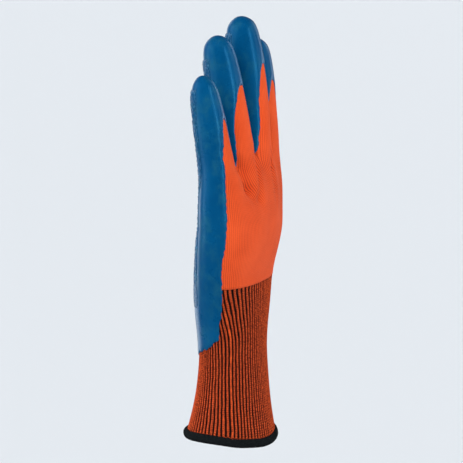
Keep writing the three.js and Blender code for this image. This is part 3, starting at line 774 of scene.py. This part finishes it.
# Knit shell.
knit = {
    "wall": 1.3, "fan": 17, "fanHeight": (138, 182), "fanWale": (14, 42),
    "open": 0.5, "openCrotch": 0.85, "openHeight": 168, "openSpread": 17,
    "openUneven": 0.35, "openUnevenSize": 14, "openTop": (212, 182), "openLeast": 0.4,
}
hand = broad["quads"][(broad["row"][broad["quads"]] > ribRow - 0.01).all(axis=1)]
used, flat = np.unique(hand, return_inverse=True)
knitShell = makeObject("knitShell", broad["at"][used], flat.reshape(-1, 4))
inward = smoothStep(broad["wale"], *knit["fanWale"])
fan = knit["fan"] * smoothStep(broad["course"], *knit["fanHeight"]) * inward
putStitches(knitShell, (broad["wale"] + fan)[used], broad["course"][used])
# How strongly the stitch gaps get painted shade: most in the stretched knit near the crotches, uneven, and
# less up the fingers.
nearCrotch = np.exp(-(((broad["course"] - knit["openHeight"]) / knit["openSpread"]) ** 2))
opened = knit["open"] + (knit["openCrotch"] - knit["open"]) * nearCrotch * inward
opened *= 1 + knit["openUneven"] * roughness3(broad["at"], knit["openUnevenSize"], seeds["open"], 2)
opened *= lerp(knit["openLeast"], 1, smoothStep(broad["course"], *knit["openTop"]))
openLayer = knitShell.data.attributes.new("open", "FLOAT", "POINT")
openLayer.data.foreach_set("value", np.clip(opened, 0, 1)[used])
applyModifier(knitShell, "SOLIDIFY", thickness=knit["wall"] / 1000, offset=-1, use_even_offset=False)
finishPiece(knitShell, orangeKnit(), "orange_knit", "knit_shell")
print("knit shell:", len(knitShell.data.polygons), "faces")

# Smooth coat.
coat = {
    "archLength": 26, "wristHeight": 53, "sideRise": 9.5,
    "cornerRise": 5.8, "cornerStart": 112, "cornerSpan": 27, "cornerPower": 1.3,
    "top": 0.72, "edgeTop": 0.18, "edgeRound": 0.9, "foot": -0.25,
    "scallop": 0.65, "scallopSize": 2.6, "wave": 0.6, "waveSize": 11,
    "tooth": 1.3, "toothSize": 2.2, "toothShare": 0.25,
}
# Degrees round a finger and millimetres along it that count alike in a field.
fieldUnit = {"turn": 10, "length": 4}


def coatFields(s):
    # more than 0 where the coat is: by the angle round the hand, and in mm above its lower edge
    opening = np.clip((s["reach"] - glove["tipDepth"]) / coat["archLength"], 0, 1)
    bare = np.where(opening > 0, s["edge"] * np.sqrt(opening), s["reach"] - glove["tipDepth"])
    corner = np.clip((coat["cornerStart"] - s["turn"]) / coat["cornerSpan"], 0, 1) ** coat["cornerPower"]
    palmward = np.cos(np.radians(np.maximum(s["turn"], 90) - 90)) ** 2
    lower = coat["wristHeight"] + coat["sideRise"] * palmward + coat["cornerRise"] * corner
    return (s["turn"] - bare) / fieldUnit["turn"], s["at"][:, 2] - lower


sideField, wristDistance = coatFields(fine)
ragged = coat["scallop"] * roughness3(fine["at"], coat["scallopSize"], seeds["scallop"])
ragged += coat["wave"] * roughness3(fine["at"], coat["waveSize"], seeds["coatWave"])
teeth = roughness3(fine["at"] * (1, 1, coat["toothShare"]), coat["toothSize"], seeds["tooth"])
coatDistance = np.minimum(toLength(fine, sideField) + ragged, wristDistance + coat["tooth"] * teeth)
coatSheet, coatFaces = cutSheet(fine, coatDistance)
rounded = 1 - np.exp(-np.maximum(coatSheet["value"], 0) / coat["edgeRound"])
coatTop = coat["edgeTop"] + (coat["top"] - coat["edgeTop"]) * rounded
latexCoat = layPiece("latexCoat", coatSheet, coatFaces, coatTop, coat["foot"])
finishPiece(latexCoat, smoothLatex(), "blue_latex", "latex_coat")
print("smooth coat:", len(latexCoat.data.polygons), "faces")

# Grip coat.
grip = {
    "reach": (12, 45, 145, 200), "angle": (112, 130, 128, 119), "tipDepth": 10, "heelHeight": 87,
    "top": 1.35, "edgeTop": 0.85, "edgeRound": 1.2, "heelRound": 7, "heelRoundHeight": (112, 92),
    "foot": 0.5, "lowest": 0.8, "crinkle": 0.5, "crinkleSize": 2.0, "crinklePower": 0.7,
    "ragged": 0.9, "raggedSize": 4.5, "heelWave": 3.5, "heelWaveSize": 17, "heelWaveHeight": (105, 90),
}


def gripField(s):
    edge = np.interp(s["reach"], grip["reach"], grip["angle"])
    sideways = (s["turn"] - edge) / fieldUnit["turn"]
    fromTip = (s["reach"] - grip["tipDepth"]) / fieldUnit["length"]
    fromHeel = (s["at"][:, 2] - grip["heelHeight"]) / fieldUnit["length"]
    return np.minimum(sideways, np.minimum(fromTip, fromHeel))


gripDistance = toLength(fine, gripField(fine))
gripDistance += grip["ragged"] * roughness3(fine["at"], grip["raggedSize"], seeds["ragged"], 2)
heelWave = grip["heelWave"] * roughness3(fine["at"], grip["heelWaveSize"], seeds["heel"])
gripDistance += heelWave * smoothStep(fine["at"][:, 2], *grip["heelWaveHeight"])
gripSheet, gripFaces = cutSheet(fine, gripDistance)
crinkle = np.abs(roughness3(gripSheet["at"], grip["crinkleSize"], seeds["crinkle"], 2))
ridges = 1 - 2 * crinkle ** grip["crinklePower"]
heelward = smoothStep(gripSheet["at"][:, 2], *grip["heelRoundHeight"])
gripRound = grip["edgeRound"] + grip["heelRound"] * heelward
rounded = 1 - np.exp(-np.maximum(gripSheet["value"], 0) / gripRound)
gripTop = grip["edgeTop"] + (grip["top"] - grip["edgeTop"] + grip["crinkle"] * ridges) * rounded
gripCoat = layPiece("gripCoat", gripSheet, gripFaces, np.maximum(gripTop, grip["lowest"]), grip["foot"])
finishPiece(gripCoat, crinkledLatex(), "crinkled_latex", "grip_coat")
print("grip coat:", len(gripCoat.data.polygons), "faces")

# Ribbed cuff.
cuff = {
    "ribs": 72, "perRib": 8, "rows": 120, "wall": 2.2, "sink": 0.15, "depth": 0.95, "sharp": 1.2,
    "fadeTop": 3, "fadeLeast": 0.4, "crossways": 2.5, "wander": 0.22, "wanderSize": 20,
    "kink": 0.1, "kinkSize": 6, "uneven": 0.35, "unevenSize": 2.5, "unevenStretch": (0.6, 0.6, 0.1),
    "innerRows": 10, "hemDepth": 3.5, "foldRib": 5, "foldWidth": 0.45, "foldRise": 0.7, "foldTop": (96, 84),
    "lean": 1.9, "leanHeight": (66, 104), "leanLow": 0.75, "leanLowHeight": (5, 40),
    "leanShare": 0.04, "leanWidth": 0.1,
}


def tubeRings(surface):
    # the surface's own rings below the rib line, each turned to start at the little-finger edge
    steps = 8
    level = np.rint(surface["row"] * steps).astype(int)
    rings = []
    for k in range(ribRow * steps + 1):
        ring = surface["at"][(level == k) & (np.abs(surface["row"] * steps - k) < 0.05)]
        middle = ring.mean(axis=0)
        start = ring[ring[:, 0].argmax()] - middle
        angle = np.arctan2(ring[:, 1] - middle[1], ring[:, 0] - middle[0]) - math.atan2(start[1], start[0])
        rings.append(ring[np.argsort((angle + 0.01) % (2 * math.pi))])
    return rings


def roundRing(ring, shares):
    # points of a closed ring at shares of its length
    closed = np.vstack([ring, ring[:1]])
    length = np.concatenate([[0], np.cumsum(np.linalg.norm(np.diff(closed, axis=0), axis=1))])
    want = np.mod(shares, 1) * length[-1]
    return np.stack([np.interp(want, length, closed[:, k]) for k in range(3)], axis=1)


def outwards(points):
    # level arrows of length 1 that point out of a closed ring
    along = np.roll(points, -1, axis=0) - np.roll(points, 1, axis=0)
    out = np.stack([along[:, 1], -along[:, 0], np.zeros(len(along))], axis=1)
    return out / np.linalg.norm(out, axis=1)[:, None]


def ringAt(rings, share):
    # the ring at a share of the way up the rings
    place = share * (len(rings) - 1)
    k = min(int(place), len(rings) - 2)
    return rings[k] * (1 - place + k) + rings[k + 1] * (place - k)


cuffRings = tubeRings(broad)
around = cuff["ribs"] * cuff["perRib"]
shares = np.arange(around) / around
fromEdge = (shares + 0.5) % 1 - 0.5
leaning = np.exp(-(((fromEdge - cuff["leanShare"]) / cuff["leanWidth"]) ** 2))
cuffPoints, cuffRib, cuffUp, cuffFold = [], [], [], []
for r in range(cuff["rows"]):
    share = r / (cuff["rows"] - 1)
    base = roundRing(ringAt(cuffRings, share), shares)
    z = lerp(glove["cuffBottom"], glove["cuff"], share)
    spots = np.stack([base[:, 0], base[:, 1], np.full(around, z)], axis=1)
    spots[:, :2] *= cuff["crossways"]
    lean = cuff["leanLow"] * smoothStep(z, *cuff["leanLowHeight"])
    lean += cuff["lean"] * smoothStep(z, *cuff["leanHeight"])
    wander = cuff["wander"] * roughness3(spots, cuff["wanderSize"], seeds["wander"])
    kink = cuff["kink"] * roughness3(spots, cuff["kinkSize"], seeds["kink"])
    ribs = shares * cuff["ribs"] + lean * leaning + (wander + kink)
    valley = np.sin(np.pi * ribs) ** 2
    fade = lerp(cuff["fadeLeast"], 1, min(1, (glove["cuff"] - z) / cuff["fadeTop"]))
    uneven = roughness3(spots * cuff["unevenStretch"], cuff["unevenSize"], seeds["rib"])
    groove = cuff["depth"] * fade * (1 + cuff["uneven"] * uneven) * valley ** cuff["sharp"]
    # A fold stands up along one rib near the top; its mask is kept for the material, which paints a highlight
    # on it.
    fold = np.exp(-(((ribs - cuff["foldRib"]) / cuff["foldWidth"]) ** 2)) * smoothStep(z, *cuff["foldTop"])
    height = cuff["foldRise"] * fold - cuff["sink"] - groove
    cuffPoints.append(base + outwards(base) * height[:, None])
    cuffRib.append(ribs)
    cuffUp.append(np.full(around, z))
    cuffFold.append(fold)
# Two rings inside the hem, then the plain inner wall back down to them.
base = roundRing(cuffRings[0], shares)
for inset in (cuff["sink"] + cuff["depth"], cuff["wall"]):
    level = base - outwards(base) * inset
    level[:, 2] -= cuff["hemDepth"]
    cuffPoints.insert(0, level)
    cuffRib.insert(0, np.zeros(around))
    cuffUp.insert(0, level[:, 2])
    cuffFold.insert(0, np.zeros(around))
for r in reversed(range(cuff["innerRows"])):
    base = roundRing(ringAt(cuffRings, r / (cuff["innerRows"] - 1)), shares)
    cuffPoints.append(base - outwards(base) * cuff["wall"])
    cuffRib.append(np.zeros(around))
    cuffUp.append(base[:, 2])
    cuffFold.append(np.zeros(around))


def closedGrid(rings, count):
    # quads between rings of count points, with the last ring joined to the first
    rows = len(rings)
    i, r = np.meshgrid(np.arange(count), np.arange(rows))
    j, n = (i + 1) % count, (r + 1) % rows
    return np.stack([r * count + i, r * count + j, n * count + j, n * count + i], axis=-1).reshape(-1, 4)


ribCuff = makeObject("ribCuff", np.concatenate(cuffPoints), closedGrid(cuffPoints, around))
putStitches(ribCuff, np.concatenate(cuffRib), np.concatenate(cuffUp))
foldLayer = ribCuff.data.attributes.new("fold", "FLOAT", "POINT")
foldLayer.data.foreach_set("value", np.concatenate(cuffFold))
finishPiece(ribCuff, plaitedRib(), "plaited_rib", "rib_cuff")
print("rib cuff:", len(ribCuff.data.polygons), "faces")

# Hem.
hem = {
    "thickness": 5.6, "standOff": 2.2, "bulge": 1.4, "bulgeShare": 0.77, "bulgeWidth": 0.07,
    "around": 420, "sides": 22, "threads": 96, "thread": 0.28, "threadSlant": 1.3, "threadMiddle": 0.7,
    "inset": 0.2, "wave": 0.5, "waveSize": 13, "waveBelow": 0.6,
}
hemShares = np.arange(hem["around"]) / hem["around"]
hemBase = roundRing(cuffRings[0], hemShares)
hemOut = outwards(hemBase)
wave = hem["wave"] * roughness3(hemBase, hem["waveSize"], seeds["hem"])
bulge = hem["bulge"] * np.exp(-(((hemShares - hem["bulgeShare"]) / hem["bulgeWidth"]) ** 2))
hemRings = []
for k in range(hem["sides"]):
    angle = 2 * math.pi * k / hem["sides"]
    slant = hemShares * hem["threads"] * 2 * math.pi + hem["threadSlant"] * math.sin(angle)
    thread = hem["thread"] * (np.abs(np.sin(slant)) ** 0.7 - hem["threadMiddle"])
    wide = hem["thickness"] / 2 - hem["inset"] + thread
    high = glove["hemHeight"] / 2 - hem["inset"] + thread
    across = hem["standOff"] - hem["thickness"] / 2 + bulge + wide * math.cos(angle)
    rise = high * math.sin(angle) + wave * (1 if math.sin(angle) > 0 else hem["waveBelow"])
    ring = hemBase + hemOut * across[:, None]
    ring[:, 2] = hemBase[:, 2] - glove["cuffBottom"] + glove["hemHeight"] / 2 + rise
    hemRings.append(ring)
hemBand = makeObject("hemBand", np.concatenate(hemRings), closedGrid(hemRings, hem["around"]))
finishPiece(hemBand, blackThread(), "black_thread", "hem_band")
print("hem:", len(hemBand.data.polygons), "faces")

# Floor, lights and camera.
studio = {
    "azimuth": 111, "elevation": 10, "distance": 2.5, "frame": 463, "mmPerPixel": 0.64,
    "aim": (0, 0, 0.135), "right": 0.0006, "up": -0.0015, "sunDistance": 3,
    "floor": -3.0, "floorSize": 160, "wallRadius": 70, "wallHeight": 24, "wallSides": 96,
    "world": (0.88, 0.92, 0.97, 1), "worldStrength": 0.1,
    "floorLook": {"Base Color": (0.81, 0.848, 0.89, 1), "Roughness": 0.9, "Specular IOR Level": 0.1},
    "wallLook": {
        "Base Color": (0.1, 0.1, 0.1, 1), "Specular IOR Level": 0.0,
        "Emission Color": (0.8, 0.84, 0.88, 1), "Emission Strength": 0.94,
    },
}
# azimuth, elevation, distance, size, power, colour
lampBoxes = {
    "leftBox": (26, 12, 1.9, (0.8, 1.9), 14, (0.93, 0.97, 1)),
    "leftStrip": (54, 14, 1.9, (0.45, 1.7), 6, (0.85, 0.94, 1)),
    "rightStrip": (156, 14, 1.9, (0.55, 1.7), 20, (0.85, 0.94, 1)),
    "rightBox": (200, 12, 1.9, (0.6, 1.9), 6, (0.93, 0.97, 1)),
    "leftRim": (-35, 5, 1.7, (1.1, 1.9), 10, (0.85, 0.93, 1)),
    "rightRim": (245, 5, 1.7, (0.3, 1.9), 7, (0.72, 0.88, 1)),
}
# azimuth, elevation, strength, spread
suns = {"leftFill": (14, 20, 1.1, 40), "key": (84, 54, 2.8, 50)}


def addFloor():
    bpy.ops.mesh.primitive_plane_add(size=studio["floorSize"], location=(0, 0, studio["floor"]))
    floor = bpy.context.active_object
    floor.name = "floor"
    floor.data.materials.append(newMaterial("paleFloor", **studio["floorLook"])[0])
    floor.visible_glossy = False


def addBackdrop():
    bpy.ops.mesh.primitive_cylinder_add(
        vertices=studio["wallSides"], radius=studio["wallRadius"], depth=studio["wallHeight"],
        end_fill_type="NOTHING", location=(0, 0, studio["floor"] + studio["wallHeight"] / 2),
    )
    wall = bpy.context.active_object
    wall.name = "backdrop"
    wall.data.materials.append(newMaterial("paleWall", **studio["wallLook"])[0])
    wall.visible_glossy = False


def wayOut(azimuth, elevation):
    # from the aim towards a lamp or the camera
    a, e = math.radians(azimuth), math.radians(elevation)
    return Vector((math.sin(a) * math.cos(e), -math.cos(a) * math.cos(e), math.sin(e)))


def placeFacing(name, data, aim, back, distance):
    thing = bpy.data.objects.new(name, data)
    thing.location = aim + back * distance
    thing.rotation_euler = (-back).to_track_quat("-Z", "Y").to_euler()
    bpy.context.scene.collection.objects.link(thing)
    return thing


def addLampBox(name, azimuth, elevation, distance, size, power, colour):
    light = bpy.data.lights.new(name, "AREA")
    light.shape, light.size, light.size_y = "RECTANGLE", size[0], size[1]
    light.energy, light.color = power, colour
    placeFacing(name, light, Vector(studio["aim"]), wayOut(azimuth, elevation), distance)


def addSun(name, azimuth, elevation, strength, spread):
    light = bpy.data.lights.new(name, "SUN")
    light.energy, light.angle = strength, math.radians(spread)
    back = wayOut(azimuth, elevation)
    lamp = placeFacing(name, light, Vector(studio["aim"]), back, studio["sunDistance"])
    lamp.visible_glossy = False


def addWorld():
    world = bpy.data.worlds.new("studio")
    world.use_nodes = True
    background = world.node_tree.nodes["Background"]
    background.inputs["Color"].default_value = studio["world"]
    background.inputs["Strength"].default_value = studio["worldStrength"]
    bpy.context.scene.world = world


def addCamera():
    back = wayOut(studio["azimuth"], studio["elevation"])
    a = math.radians(studio["azimuth"])
    right = Vector((math.cos(a), math.sin(a), 0))
    aim = Vector(studio["aim"]) + right * studio["right"] + back.cross(right) * studio["up"]
    data = bpy.data.cameras.new("camera")
    half = studio["frame"] * studio["mmPerPixel"] / 2000
    data.lens = data.sensor_width / 2 / (half / studio["distance"])
    bpy.context.scene.camera = placeFacing("camera", data, aim, back, studio["distance"])


addFloor()
addBackdrop()
for name, values in lampBoxes.items():
    addLampBox(name, *values)
for name, values in suns.items():
    addSun(name, *values)
addWorld()
bpy.context.scene.view_settings.view_transform = "Standard"
addCamera()
print("studio ready")
